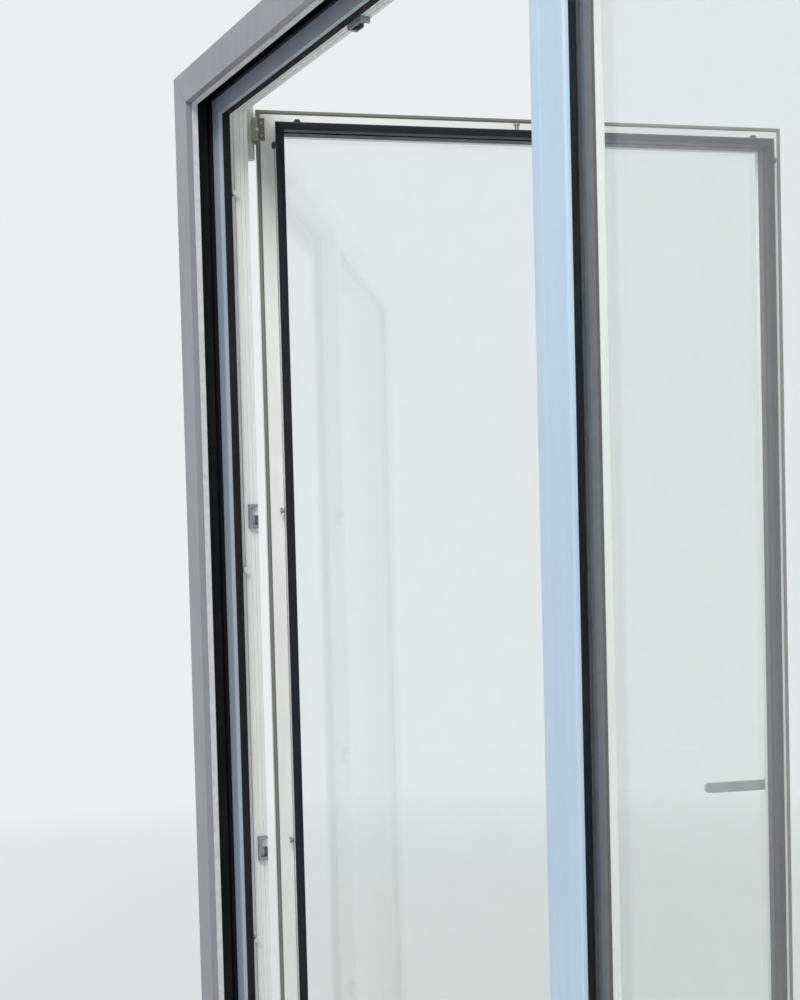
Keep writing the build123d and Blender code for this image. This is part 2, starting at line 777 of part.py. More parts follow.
for place, eye_low in hinge_levels.items():
    bearing_low = eye_low - knuckle_gap - frame_knuckle
    plate_top = eye_low + leaf_knuckle
    with BuildPart() as bearing:
        block(
            hinge_x - hinge_plate_reach, hinge_x + knuckle_radius, frame_depth, hinge_axis_depth,
            bearing_low, bearing_low + frame_knuckle,
        )
        block(
            hinge_x - hinge_plate_reach, hinge_x, frame_depth, frame_depth + hinge_plate,
            bearing_low, plate_top,
        )
        barrel(bearing_low, frame_knuckle, knuckle_radius)
        barrel(bearing_low, frame_knuckle, pin_radius + pin_clearance, Mode.SUBTRACT)
    save(bearing, f"frame_hinge_{place}")

    arm_top = eye_low + hinge_arm_height
    web_end = tip_x - hinge_web_gap
    with BuildPart() as eye:
        block(hinge_x, tip_x + hinge_flap_width, leaf_back, leaf_back + hinge_plate, eye_low, arm_top)
        block(hinge_x, web_end, hinge_axis_depth, leaf_back + hinge_plate, eye_low, arm_top)
        block(web_end - hinge_hook_web, web_end, hook_front, hinge_axis_depth, eye_low, arm_top)
        block(
            web_end - hinge_hook_web, tip_x + flange_seal_width + hinge_hook_lap,
            hook_front, flange_front, eye_low, arm_top,
        )
        block(
            tip_x, tip_x + flange_seal_width - hinge_notch_gap,
            hook_front, flange_seat, eye_low, arm_top,
        )
        barrel(eye_low, leaf_knuckle, knuckle_radius)
        barrel(eye_low, leaf_knuckle, pin_radius + pin_clearance, Mode.SUBTRACT)
        with Locations(Plane(
            origin=(
                tip_x + hinge_flap_width / 2 + 2,
                leaf_back + hinge_plate - mid,
                eye_low + hinge_arm_height / 2,
            ),
            x_dir=(1, 0, 0), z_dir=(0, 1, 0),
        )):
            with GridLocations(0, hinge_arm_height * 0.6, 1, 2):
                CounterSinkHole(hinge_screw_radius, hinge_screw_head, hinge_plate)
    save(eye, f"leaf_hinge_{place}", True)

with BuildPart() as hinge_pins:
    for eye_low in hinge_levels.values():
        barrel(eye_low - knuckle_gap - frame_knuckle, frame_knuckle + knuckle_gap + leaf_knuckle - 1, pin_radius)
save(hinge_pins, "hinge_pins")

with BuildPart() as hinge_caps:
    for eye_low in hinge_levels.values():
        barrel(eye_low + leaf_knuckle, hinge_cap, knuckle_radius)
save(hinge_caps, "hinge_caps", True)

print("leaf body", leaf_rect, "hinge axis", hinge_x, hinge_axis_depth - mid)
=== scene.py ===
import json
import math
import random

import bmesh
import bpy
from mathutils import Matrix, Vector

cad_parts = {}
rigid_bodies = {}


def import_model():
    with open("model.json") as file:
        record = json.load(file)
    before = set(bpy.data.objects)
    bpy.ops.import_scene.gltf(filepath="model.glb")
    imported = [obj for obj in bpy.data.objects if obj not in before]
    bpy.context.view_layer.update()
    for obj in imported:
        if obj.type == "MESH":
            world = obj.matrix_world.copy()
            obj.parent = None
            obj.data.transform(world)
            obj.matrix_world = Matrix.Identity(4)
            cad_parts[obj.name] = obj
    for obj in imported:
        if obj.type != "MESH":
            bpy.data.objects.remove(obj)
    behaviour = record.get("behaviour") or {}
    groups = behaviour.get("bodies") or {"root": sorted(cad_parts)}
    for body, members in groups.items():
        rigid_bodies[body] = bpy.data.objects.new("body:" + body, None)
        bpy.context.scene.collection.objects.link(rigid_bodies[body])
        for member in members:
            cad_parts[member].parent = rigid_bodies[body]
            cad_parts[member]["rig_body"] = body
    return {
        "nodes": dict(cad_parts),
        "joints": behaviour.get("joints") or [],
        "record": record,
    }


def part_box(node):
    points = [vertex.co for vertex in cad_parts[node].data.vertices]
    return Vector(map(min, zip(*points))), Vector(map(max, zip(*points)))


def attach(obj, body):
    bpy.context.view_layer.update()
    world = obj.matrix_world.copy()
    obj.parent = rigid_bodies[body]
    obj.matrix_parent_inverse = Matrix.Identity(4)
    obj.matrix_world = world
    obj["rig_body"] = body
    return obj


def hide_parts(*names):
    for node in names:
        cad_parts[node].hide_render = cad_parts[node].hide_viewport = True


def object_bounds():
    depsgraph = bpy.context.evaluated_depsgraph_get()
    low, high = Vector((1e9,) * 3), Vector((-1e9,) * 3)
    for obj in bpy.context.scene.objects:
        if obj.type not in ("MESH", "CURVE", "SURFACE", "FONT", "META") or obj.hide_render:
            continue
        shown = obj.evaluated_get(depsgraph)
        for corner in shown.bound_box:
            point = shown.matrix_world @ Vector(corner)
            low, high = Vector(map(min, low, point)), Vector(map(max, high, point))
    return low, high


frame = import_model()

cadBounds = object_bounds()
nodes = frame["nodes"]
joints = {joint["name"]: joint for joint in frame["joints"]}


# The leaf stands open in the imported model, and is measured here as if it were closed
leafAngle = -math.radians(joints["leaf_swing"]["range_deg"][0])
hingePoint = Vector(joints["leaf_swing"]["pos_m"])
leafTurn = (
    Matrix.Translation(hingePoint)
    @ Matrix.Rotation(leafAngle, 4, "Z")
    @ Matrix.Translation(-hingePoint)
)
leafBack = leafTurn.inverted()


def boxOf(points):
    low = Vector(tuple(min(p[i] for p in points) for i in range(3)))
    high = Vector(tuple(max(p[i] for p in points) for i in range(3)))
    return low, high


def frameBox(name):
    # a frame node's box, as vectors
    return tuple(Vector(corner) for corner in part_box(name))


def closedBox(name):
    # a leaf node's box with the leaf closed
    return boxOf([leafBack @ vertex.co for vertex in nodes[name].data.vertices])


def separateBoxes(name, gap=0.05):
    # one box for each group of a node's points that lies further than gap from the others
    groups = []
    for vertex in nodes[name].data.vertices:
        point = vertex.co
        near = [
            group for group in groups
            if all(group[0][i] - gap < point[i] < group[1][i] + gap for i in range(3))
        ]
        merged = [point.copy(), point.copy()]
        for group in near:
            for i in range(3):
                merged[0][i] = min(merged[0][i], group[0][i])
                merged[1][i] = max(merged[1][i], group[1][i])
            groups.remove(group)
        groups.append(merged)
    return groups


# Camera, at the photograph's place and angle

cameraView = {
    "place": (1.2547, -0.930, 1.531),
    "turn": 29.116,           # degrees between the line of sight and the wall
    "pitch": -1.979,
    "roll": -1.451,
    "focalPixels": 1374.0,
    "axisPixel": (400.0, 595.6),     # where the line of sight meets the picture
    "imagePixels": (800, 1000),
    "sensor": 36.0,           # millimetres, along the picture's longer side
    "near": 0.02, "far": 200,
}


def makeCamera():
    width, height = cameraView["imagePixels"]
    turn, pitch, roll = (math.radians(cameraView[key]) for key in ("turn", "pitch", "roll"))
    ahead = Vector((-math.cos(turn), math.sin(turn), 0))
    across = Vector((math.sin(turn), math.cos(turn), 0))
    up = Vector((0, 0, 1))
    sight = ahead * math.cos(pitch) + up * math.sin(pitch)
    lift = up * math.cos(pitch) - ahead * math.sin(pitch)
    right = across * math.cos(roll) + lift * math.sin(roll)
    top = lift * math.cos(roll) - across * math.sin(roll)

    data = bpy.data.cameras.new("photoCamera")
    data.sensor_width = cameraView["sensor"]
    data.lens = data.sensor_width * cameraView["focalPixels"] / height
    data.shift_x = (width / 2 - cameraView["axisPixel"][0]) / height
    data.shift_y = (cameraView["axisPixel"][1] - height / 2) / height
    data.clip_start = cameraView["near"]
    data.clip_end = cameraView["far"]
    camera = bpy.data.objects.new("photoCamera", data)
    bpy.context.scene.collection.objects.link(camera)
    camera.matrix_world = Matrix.Translation(cameraView["place"]) @ Matrix(
        (right, top, -sight)
    ).transposed().to_4x4()
    bpy.context.scene.camera = camera


makeCamera()
print("camera made")


# Material tools

patchBand = (0.35, 0.7)      # where, in a noise from 0 to 1, one tone turns into another
shineBand = (0.3, 0.7)       # the same for roughness
colourEdge = 0.0001          # metres over which a coloured part begins
shadeSamples = 6


def newMaterial(name):
    material = bpy.data.materials.new(name)
    material.use_nodes = True
    return material, material.node_tree, material.node_tree.nodes["Principled BSDF"]


def node(tree, kind, sockets=None, **settings):
    made = tree.nodes.new(kind)
    for key, value in settings.items():
        setattr(made, key, value)
    for key, value in (sockets or {}).items():
        if isinstance(value, bpy.types.NodeSocket):
            tree.links.new(value, made.inputs[key])
        else:
            made.inputs[key].default_value = value
    return made


def join(tree, source, target):
    tree.links.new(source, target)


def colour(red, green, blue):
    # a colour as it looks on screen, 0 to 255, in Blender's linear values
    def linear(value):
        value = value / 255
        return value / 12.92 if value <= 0.04045 else ((value + 0.055) / 1.055) ** 2.4
    return (linear(red), linear(green), linear(blue), 1.0)


def place(tree, turn=0.0, scale=(1, 1, 1)):
    # the piece's own coordinates in metres, turned about the upright and then scaled
    where = node(tree, "ShaderNodeTexCoord")
    mapping = node(
        tree, "ShaderNodeMapping",
        {
            "Vector": where.outputs["Object"], "Rotation": (0, 0, -turn),
            "Scale": [1 / share for share in scale],
        },
        vector_type="TEXTURE",
    )
    return mapping.outputs["Vector"]


def noise(tree, where, scale, detail, roughness=0.55):
    made = node(
        tree, "ShaderNodeTexNoise",
        {"Vector": where, "Scale": scale, "Detail": detail, "Roughness": roughness},
    )
    return made.outputs["Fac"]


def spread(tree, value, low, high, toLow, toHigh):
    made = node(
        tree, "ShaderNodeMapRange",
        {"Value": value, "From Min": low, "From Max": high, "To Min": toLow, "To Max": toHigh},
    )
    return made.outputs["Result"]


def blendColours(tree, factor, first, second):
    # the mix node's sockets for colours are its numbers 6 and 7, and its output 2
    return node(
        tree, "ShaderNodeMix", {0: factor, 6: first, 7: second}, data_type="RGBA"
    ).outputs[2]


def product(tree, first, second):
    return node(tree, "ShaderNodeMath", {0: first, 1: second}, operation="MULTIPLY").outputs[0]


def tones(tree, pattern, plain, worn, band=patchBand):
    # plain where the pattern is low, worn where it is high
    return blendColours(tree, spread(tree, pattern, *band, 0.0, 1.0), colour(*plain), colour(*worn))


def patches(tree, where, pattern, band, low, high):
    # low outside the patches of a noise, high in them
    return spread(tree, noise(tree, where, *pattern), *band, low, high)


def bumpFrom(tree, height, distance, after=None):
    sockets = {"Height": height, "Distance": distance, "Strength": 1.0}
    if after is not None:
        sockets["Normal"] = after
    return node(tree, "ShaderNodeBump", sockets).outputs["Normal"]


def setRoughness(tree, shader, pattern, rough):
    join(tree, spread(tree, pattern, *shineBand, *rough), shader.inputs["Roughness"])


def setRelief(tree, shader, pattern, depth, after=None):
    join(tree, bumpFrom(tree, pattern, depth, after), shader.inputs["Normal"])


def closeness(tree, distance, band, **settings):
    # 1 where other faces are near, 0 where none is within the distance
    shade = node(
        tree, "ShaderNodeAmbientOcclusion", {"Distance": distance},
        samples=shadeSamples, **settings,
    )
    return spread(tree, shade.outputs["AO"], *band, 1.0, 0.0)


def cornerDirtAndShade(tree, distance, band):
    # 1 deep in grooves and inner corners, where shade falls, 0 on open faces: a mask for dirt
    # together with painted shade
    return closeness(tree, distance, band, only_local=False)


def edgeRub(tree, distance, band):
    # 1 on outer edges, where hands and cleaning rub, 0 away from them
    return closeness(tree, distance, band, inside=True, only_local=True)


# Finishes. A noise is given by its scale and detail, and by its roughness where that isn't usual.
# A band is the part of a pattern over which it takes effect. Depths and reaches are in metres.

profilePlastic = {
    "clean": (240, 242, 240), "tone": (229, 231, 228), "toneBand": (0.12, 0.42),
    "clouds": (5.0, 4.0), "streaks": (34.0, 5.0), "streakShare": 0.06,
    # the grime colour goes into grooves and inner corners in patches: dirt there together with
    # painted shade
    "grimeAndShade": (158, 157, 144), "grimeAndShadePatches": (60.0, 5.0), "grimeAndShadeShare": (0.1, 0.5),
    "shadeAndDirtReach": 0.006, "shadeAndDirtBand": (0.25, 0.75),
    "specks": (420.0, 2.0), "speckBand": (0.735, 0.78), "speckShare": 0.45,
    "rough": (0.28, 0.42), "shine": 0.42,
    "pebbles": (900.0, 2.0), "pebbleDepth": 0.00004,
    "lines": (260.0, 2.0), "lineShare": 0.01, "lineDepth": 0.00003,
}


def makeProfilePlastic(name, turn=0.0, level=False):
    # white window plastic: satin, faintly cloudy along the bar, grey dirt with painted shade in
    # patches of its corners
    look = profilePlastic
    material, tree, shader = newMaterial(name)

    def drawn(share):
        # a place whose pattern is drawn out along an upright or a level bar
        return place(tree, turn, (share, 1.0, 1.0) if level else (1.0, 1.0, share))

    where = place(tree, turn)
    clouds = noise(tree, where, *look["clouds"])
    streaks = noise(tree, drawn(look["streakShare"]), *look["streaks"])
    cloudy = product(tree, clouds, streaks)
    base = tones(tree, cloudy, look["clean"], look["tone"], look["toneBand"])
    grimeAndShade = colour(*look["grimeAndShade"])
    # painted shade with dirt: the grime colour laid in grooves and inner corners, in patches
    dirtAndShade = cornerDirtAndShade(tree, look["shadeAndDirtReach"], look["shadeAndDirtBand"])
    patch = patches(tree, where, look["grimeAndShadePatches"], patchBand, *look["grimeAndShadeShare"])
    base = blendColours(tree, product(tree, dirtAndShade, patch), base, grimeAndShade)
    specks = patches(tree, where, look["specks"], look["speckBand"], 0.0, look["speckShare"])
    base = blendColours(tree, specks, base, grimeAndShade)
    join(tree, base, shader.inputs["Base Color"])
    setRoughness(tree, shader, streaks, look["rough"])
    fine = bumpFrom(tree, noise(tree, where, *look["pebbles"]), look["pebbleDepth"])
    lines = noise(tree, drawn(look["lineShare"]), *look["lines"])
    setRelief(tree, shader, lines, look["lineDepth"], fine)
    shader.inputs["Specular IOR Level"].default_value = look["shine"]
    return material


coatedMetal = {
    "toneBand": (0.12, 0.42), "clouds": (3.0, 4.0), "streaks": (48.0, 4.0), "streakShare": 0.03,
    "dust": (172, 170, 160), "dustPatches": (150.0, 6.0, 0.7), "dustBand": (0.52, 0.78),
    "dustShare": 0.10,
    "rubReach": 0.0012, "rubBand": (0.35, 0.8), "rubPatches": (45.0, 5.0),
    "rubPatchBand": (0.4, 0.7), "rubShare": 0.35, "rubLift": 1.35, "rubAdd": 14,
    "pebbles": (1500.0, 2.0), "pebbleDepth": 0.00005, "shine": 0.5,
}


def makeCoatedMetal(
    name, plain, worn, rough, dustShare=coatedMetal["dustShare"], shine=coatedMetal["shine"]
):
    # powder-coated aluminium: fine orange peel, rain streaks and a little dust
    look = coatedMetal
    material, tree, shader = newMaterial(name)
    where = place(tree)
    clouds = noise(tree, where, *look["clouds"])
    drawn = place(tree, 0.0, (1.0, 1.0, look["streakShare"]))
    cloudy = product(tree, clouds, noise(tree, drawn, *look["streaks"]))
    base = tones(tree, cloudy, plain, worn, look["toneBand"])
    dust = patches(tree, where, look["dustPatches"], look["dustBand"], 0.0, dustShare)
    base = blendColours(tree, dust, base, colour(*look["dust"]))
    rub = edgeRub(tree, look["rubReach"], look["rubBand"])
    patch = patches(tree, where, look["rubPatches"], look["rubPatchBand"], 0.0, look["rubShare"])
    bare = [min(255, value * look["rubLift"] + look["rubAdd"]) for value in plain]
    base = blendColours(tree, product(tree, rub, patch), base, colour(*bare))
    join(tree, base, shader.inputs["Base Color"])
    setRoughness(tree, shader, clouds, rough)
    setRelief(tree, shader, noise(tree, where, *look["pebbles"]), look["pebbleDepth"])
    shader.inputs["Specular IOR Level"].default_value = shine
    return material


trimLook = {
    "plain": (146, 148, 153), "worn": (134, 136, 142), "rough": (0.26, 0.38),
    # painted shade: near-black over the slot's back leg, where shade falls
    "paintedShade": (15, 16, 20), "paintedShadeDepth": 0.0065, "paintedShadeShine": 0.15,
}


def makeTrimCoat(name):
    # the trim's coat, with painted shade: black, with less shine, over the leg that lies on the
    # frame at the back of the slot
    material = makeCoatedMetal(name, trimLook["plain"], trimLook["worn"], trimLook["rough"])
    tree = material.node_tree
    shader = tree.nodes["Principled BSDF"]
    where = node(tree, "ShaderNodeTexCoord").outputs["Object"]
    depth = node(tree, "ShaderNodeSeparateXYZ", {0: where}).outputs["Y"]
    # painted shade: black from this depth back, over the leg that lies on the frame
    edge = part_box("trim_left")[1][1] - trimLook["paintedShadeDepth"]
    inPaintedShade = spread(tree, depth, edge, edge + colourEdge, 0.0, 1.0)
    coat = shader.inputs["Base Color"].links[0].from_socket
    paintedShade = colour(*trimLook["paintedShade"])
    join(tree, blendColours(tree, inPaintedShade, coat, paintedShade), shader.inputs["Base Color"])
    shine = spread(tree, inPaintedShade, 0.0, 1.0, coatedMetal["shine"], trimLook["paintedShadeShine"])
    join(tree, shine, shader.inputs["Specular IOR Level"])
    return material


rubber = {
    "dust": (74, 74, 71), "dustPatches": (9.0, 8.0, 0.72), "dustBand": (0.42, 0.75),
    "dustShare": 0.16, "roughPatches": (90.0, 3.0), "rough": (0.55, 0.8), "shine": 0.22,
    "lines": (700.0, 2.0), "lineShare": 0.02, "lineDepth": 0.00006,
}


def makeRubber(name, plain, turn=0.0):
    # extruded rubber: matt, drawn lines along it, dust in its folds
    look = rubber
    material, tree, shader = newMaterial(name)
    where = place(tree, turn)
    dust = patches(tree, where, look["dustPatches"], look["dustBand"], 0.0, look["dustShare"])
    base = blendColours(tree, dust, colour(*plain), colour(*look["dust"]))
    join(tree, base, shader.inputs["Base Color"])
    setRoughness(tree, shader, noise(tree, where, *look["roughPatches"]), look["rough"])
    drawn = place(tree, turn, (1.0, 1.0, look["lineShare"]))
    setRelief(tree, shader, noise(tree, drawn, *look["lines"]), look["lineDepth"])
    shader.inputs["Specular IOR Level"].default_value = look["shine"]
    return material


moulding = {
    "patches": (70.0, 4.0), "roughPatches": (160.0, 3.0),
    "pebbles": (1100.0, 2.0), "pebbleDepth": 0.00005,
}


def makeMoulding(name, plain, worn, rough):
    # moulded plastic for small pieces, with a fine matt grain
    look = moulding
    material, tree, shader = newMaterial(name)
    where = place(tree)
    base = tones(tree, noise(tree, where, *look["patches"]), plain, worn)
    join(tree, base, shader.inputs["Base Color"])
    setRoughness(tree, shader, noise(tree, where, *look["roughPatches"]), rough)
    setRelief(tree, shader, noise(tree, where, *look["pebbles"]), look["pebbleDepth"])
    return material


platedSteel = {
    "plain": (158, 162, 166), "tint": (140, 142, 142), "patches": (55.0, 7.0, 0.7),
    # the grime colour darkens every corner: painted shade together with some dirt
    "grimeAndShade": (58, 57, 54), "grimeAndShadeShare": 0.85, "shadeAndDirtReach": 0.005, "shadeAndDirtBand": (0.2, 0.8),
    "roughPatches": (240.0, 4.0), "rough": (0.30, 0.46), "metal": 0.85,
    "scratches": (1400.0, 2.0), "scratchTurn": 0.4, "scratchShare": 0.05,
    "scratchDepth": 0.00002,
}


def makePlatedSteel(name, plain=platedSteel["plain"], tint=platedSteel["tint"]):
    # zinc-plated steel: grey with a faint blue, duller in patches, dark grime and painted shade in
    # its corners
    look = platedSteel
    material, tree, shader = newMaterial(name)
    where = place(tree)
    base = tones(tree, noise(tree, where, *look["patches"]), plain, tint)
    # painted shade with grime: dark in every groove and inner corner
    dirtAndShade = product(tree, cornerDirtAndShade(tree, look["shadeAndDirtReach"], look["shadeAndDirtBand"]), look["grimeAndShadeShare"])
    base = blendColours(tree, dirtAndShade, base, colour(*look["grimeAndShade"]))
    join(tree, base, shader.inputs["Base Color"])
    setRoughness(tree, shader, noise(tree, where, *look["roughPatches"]), look["rough"])
    drawn = place(tree, look["scratchTurn"], (1.0, 1.0, look["scratchShare"]))
    setRelief(tree, shader, noise(tree, drawn, *look["scratches"]), look["scratchDepth"])
    shader.inputs["Metallic"].default_value = look["metal"]
    return material


satinHandle = {
    "plain": (196, 197, 196), "worn": (178, 178, 176), "haze": (40.0, 4.0),
    "rough": (0.3, 0.38), "metal": 0.95,
    "brush": (1600.0, 2.0), "brushShare": 0.02, "brushDepth": 0.00002,
}


def makeSatinHandle(name):
    # anodised aluminium, brushed along the lever, hazed where a hand holds it
    look = satinHandle
    material, tree, shader = newMaterial(name)
    haze = noise(tree, place(tree), *look["haze"])
    join(tree, tones(tree, haze, look["plain"], look["worn"]), shader.inputs["Base Color"])
    setRoughness(tree, shader, haze, look["rough"])
    drawn = place(tree, -leafAngle, (look["brushShare"], 1.0, 1.0))
    setRelief(tree, shader, noise(tree, drawn, *look["brush"]), look["brushDepth"])
    shader.inputs["Metallic"].default_value = look["metal"]
    return material


clearGlass = {
    "tint": (250, 252, 251), "refraction": 1.5,
    "smears": (7.0, 6.0, 0.65), "smearBand": (0.55, 0.8), "smearRough": 0.03,
    "dust": (205, 208, 206), "dustPatches": (13.0, 8.0, 0.7), "dustBand": (0.4, 0.8),
    "dustShare": (0.004, 0.02),
}


def makeGlass(name):
    # float glass with a faint green tint and a thin film of dust
    look = clearGlass
    material, tree, shader = newMaterial(name)
    where = place(tree)
    shader.inputs["Base Color"].default_value = colour(*look["tint"])
    shader.inputs["Transmission Weight"].default_value = 1.0
    shader.inputs["IOR"].default_value = look["refraction"]
    smear = patches(tree, where, look["smears"], look["smearBand"], 0.0, look["smearRough"])
    join(tree, smear, shader.inputs["Roughness"])
    film = node(tree, "ShaderNodeBsdfDiffuse", {"Color": colour(*look["dust"])})
    dust = patches(tree, where, look["dustPatches"], look["dustBand"], *look["dustShare"])
    dusty = node(
        tree, "ShaderNodeMixShader",
        {0: dust, 1: shader.outputs["BSDF"], 2: film.outputs["BSDF"]},
    )
    # light that falls through casts no dark shadow
    clear = node(tree, "ShaderNodeBsdfTransparent", {"Color": colour(*look["tint"])})
    rays = node(tree, "ShaderNodeLightPath")
    lit = node(
        tree, "ShaderNodeMixShader",
        {0: rays.outputs["Is Shadow Ray"], 1: dusty.outputs[0], 2: clear.outputs[0]},
    )
    join(tree, lit.outputs[0], tree.nodes["Material Output"].inputs["Surface"])
    return material


spacerBar = {
    "plain": (42, 43, 46), "worn": (62, 63, 66), "patches": (90.0, 4.0),
    "slit": (20, 20, 21), "slitPitch": 0.0042, "slitBand": (0.8, 0.95), "slitShare": 0.4,
    "roughPatches": (60.0, 3.0), "rough": (0.35, 0.5),
    "pebbles": (1300.0, 2.0), "pebbleDepth": 0.00004,
}


def makeSpacerBar(name):
    # dark spacer between the panes, with its fine breathing slits across it
    look = spacerBar
    material, tree, shader = newMaterial(name)
    where = place(tree)
    base = tones(tree, noise(tree, where, *look["patches"]), look["plain"], look["worn"])
    # Blender's diagonal wave repeats each 2 pi / (10 x scale), along x as along z
    wave = node(
        tree, "ShaderNodeTexWave",
        {"Vector": where, "Scale": 2 * math.pi / (10 * look["slitPitch"])},
        bands_direction="DIAGONAL",
    )
    slits = spread(tree, wave.outputs["Fac"], *look["slitBand"], 0.0, look["slitShare"])
    base = blendColours(tree, slits, base, colour(*look["slit"]))
    join(tree, base, shader.inputs["Base Color"])
    setRoughness(tree, shader, noise(tree, where, *look["roughPatches"]), look["rough"])
    setRelief(tree, shader, noise(tree, where, *look["pebbles"]), look["pebbleDepth"])
    return material


# The finish of each slot: names, plain and worn tones, roughness and, for a coat, dust and shine

finishes = {
    "profile_white": makeProfilePlastic("whiteProfile"),
    # blue-grey coat, lightened and blued to stand for sunlight and sky reflection: part paint
    # colour, part painted light
    "cladding": makeCoatedMetal("sunlitBlueGreyCoat", (190, 213, 232), (179, 203, 224), (0.28, 0.40)),
    "leaf_cladding": makeCoatedMetal(
        "darkLeafCoat", (17, 18, 24), (23, 25, 30), (0.30, 0.42), 0.04, 0.22
    ),
    "trim": makeTrimCoat("trimCoat"),
    "strip": makeMoulding("paleStrip", (212, 215, 216), (196, 198, 198), (0.35, 0.5)),
    "seal_black": makeRubber("blackRubber", (16, 17, 19)),
    "seal_grey": makeRubber("greyRubber", (126, 126, 121), -leafAngle),
    "glass": makeGlass("clearGlass"),
    "spacer": makeSpacerBar("darkSpacer"),
    "packers": makeMoulding("bluePacker", (38, 74, 150), (32, 62, 130), (0.35, 0.5)),
    "packers_black": makeMoulding("blackBlock", (22, 22, 23), (32, 32, 33), (0.4, 0.6)),
    "hardware": makePlatedSteel("platedSteel"),
    "handle_metal": makeSatinHandle("satinHandle"),
    "caps_white": makeMoulding("whiteCap", (226, 227, 224), (208, 208, 204), (0.3, 0.45)),
}
leafFinishes = {"profile_white": makeProfilePlastic("whiteLeafProfile", -leafAngle)}

hingeLook = {
    "sleeveReach": 0.0073, "patches": (80.0, 5.0), "cover": (222, 224, 220),
    "coverWorn": (202, 203, 197), "coverRough": (0.3, 0.45),
}


def makeHingeSteel(name):
    # the plated hinge, whose round barrel is under a white plastic sleeve
    look = hingeLook
    steel = makePlatedSteel(name)
    tree = steel.node_tree
    shader = tree.nodes["Principled BSDF"]
    where = node(tree, "ShaderNodeTexCoord").outputs["Object"]
    axis = (hingePoint[0], hingePoint[1], 0)
    flat = node(tree, "ShaderNodeVectorMath", {0: where, 1: (1, 1, 0)}, operation="MULTIPLY")
    away = node(tree, "ShaderNodeVectorMath", {0: flat.outputs[0], 1: axis}, operation="DISTANCE")
    reach = look["sleeveReach"]
    sleeve = spread(tree, away.outputs["Value"], reach, reach + colourEdge, 1.0, 0.0)
    pattern = noise(tree, where, *look["patches"])
    white = tones(tree, pattern, look["cover"], look["coverWorn"])
    bare = shader.inputs["Base Color"].links[0].from_socket
    join(tree, blendColours(tree, sleeve, bare, white), shader.inputs["Base Color"])
    metal = spread(tree, sleeve, 0.0, 1.0, platedSteel["metal"], 0.0)
    join(tree, metal, shader.inputs["Metallic"])
    return steel


# The cladding round the opening is painted greyer and darker than the mullion's, as the same coat
# looks in shade: a shaded copy, painted shade
shadedFrameCoat = makeCoatedMetal("shadedGreyFrameCoat", (165, 175, 186), (153, 164, 176), (0.28, 0.40))
flashingCoat = makeCoatedMetal(
    "flashingCoat", trimLook["plain"], trimLook["worn"], trimLook["rough"]
)
levelProfile = makeProfilePlastic("whiteLevelProfile", level=True)
levelLeafProfile = makeProfilePlastic("whiteLevelLeafProfile", -leafAngle, level=True)
hingeSteel = makeHingeSteel("hingeSteel")
hingeCover = makeMoulding(
    "whiteHingeCover", hingeLook["cover"], hingeLook["coverWorn"], hingeLook["coverRough"]
)

nodeFinishes = {
    "head": levelProfile, "sill": levelProfile,
    "leaf_rail_top": levelLeafProfile, "leaf_rail_bottom": levelLeafProfile,
    "jamb_left_cladding": shadedFrameCoat, "jamb_right_cladding": shadedFrameCoat,
    "head_cladding": shadedFrameCoat, "sill_cladding": shadedFrameCoat, "sill_flashing": flashingCoat,
    "leaf_hinge_top": hingeSteel, "leaf_hinge_bottom": hingeSteel,
    "frame_hinge_top": hingeCover, "frame_hinge_bottom": hingeCover,
}

for name, piece in nodes.items():
    slotName = piece.material_slots[0].material.name
    finish = finishes[slotName]
    if piece["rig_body"] == "leaf":
        finish = leafFinishes.get(slotName, finish)
    finish = nodeFinishes.get(name, finish)
    for slot in piece.material_slots:
        slot.material = finish
print("finishes on", len(nodes), "pieces")


# Edges of the bars, so that they catch the light and meet in fine lines at the mitres

softEdge = {"weld": 0.000002, "steps": 2, "overAngle": 30}

softBars = {
    "jamb_left": 0.0004, "jamb_right": 0.0004, "head": 0.0004, "sill": 0.0004, "mullion": 0.0005,
    "jamb_left_cladding": 0.0005, "jamb_right_cladding": 0.0005, "head_cladding": 0.0005,
    "sill_cladding": 0.0005,
    "trim_left": 0.0006, "trim_right": 0.0006, "trim_head": 0.0006, "trim_edge_strip": 0.0003,
    "sill_flashing": 0.0004, "weep_caps": 0.0006,
    "leaf_stile_hinge_side": 0.0005, "leaf_stile_lock_side": 0.0005,
    "leaf_rail_top": 0.0005, "leaf_rail_bottom": 0.0005,
    "fixed_beads": 0.0004, "leaf_beads": 0.0004,
    "keeps": 0.0003, "leaf_hinge_top": 0.0003, "leaf_hinge_bottom": 0.0003,
    "frame_hinge_top": 0.0005, "frame_hinge_bottom": 0.0005, "hinge_caps": 0.0008,
    "handle_lever": 0.0008, "handle_rosette": 0.0007,
}


def softenEdges(piece, width):
    weld = piece.modifiers.new("joinedFaces", "WELD")
    weld.merge_threshold = softEdge["weld"]
    bevel = piece.modifiers.new("softEdges", "BEVEL")
    bevel.width = width
    bevel.segments = softEdge["steps"]
    bevel.limit_method = "ANGLE"
    bevel.angle_limit = math.radians(softEdge["overAngle"])
    bevel.use_clamp_overlap = False
    bevel.harden_normals = False


for name, width in softBars.items():
    softenEdges(nodes[name], width)
print("edges softened on", len(softBars), "bars")


# Tools for new pieces

smoothUnder = 32      # degrees between faces that are still shaded as one


def newPiece(name, mesh, finish, body, closed=False):
    # a finished mesh as a piece that rides on its body
    bmesh.ops.recalc_face_normals(mesh, faces=mesh.faces)
    if closed:
        mesh.transform(leafTurn)
    data = bpy.data.meshes.new(name)
    mesh.to_mesh(data)
    mesh.free()
    data.shade_smooth()
    data.set_sharp_from_angle(angle=math.radians(smoothUnder))
    data.materials.append(finish)
    piece = bpy.data.objects.new(name, data)
    bpy.context.scene.collection.objects.link(piece)
    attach(piece, body)
    return piece


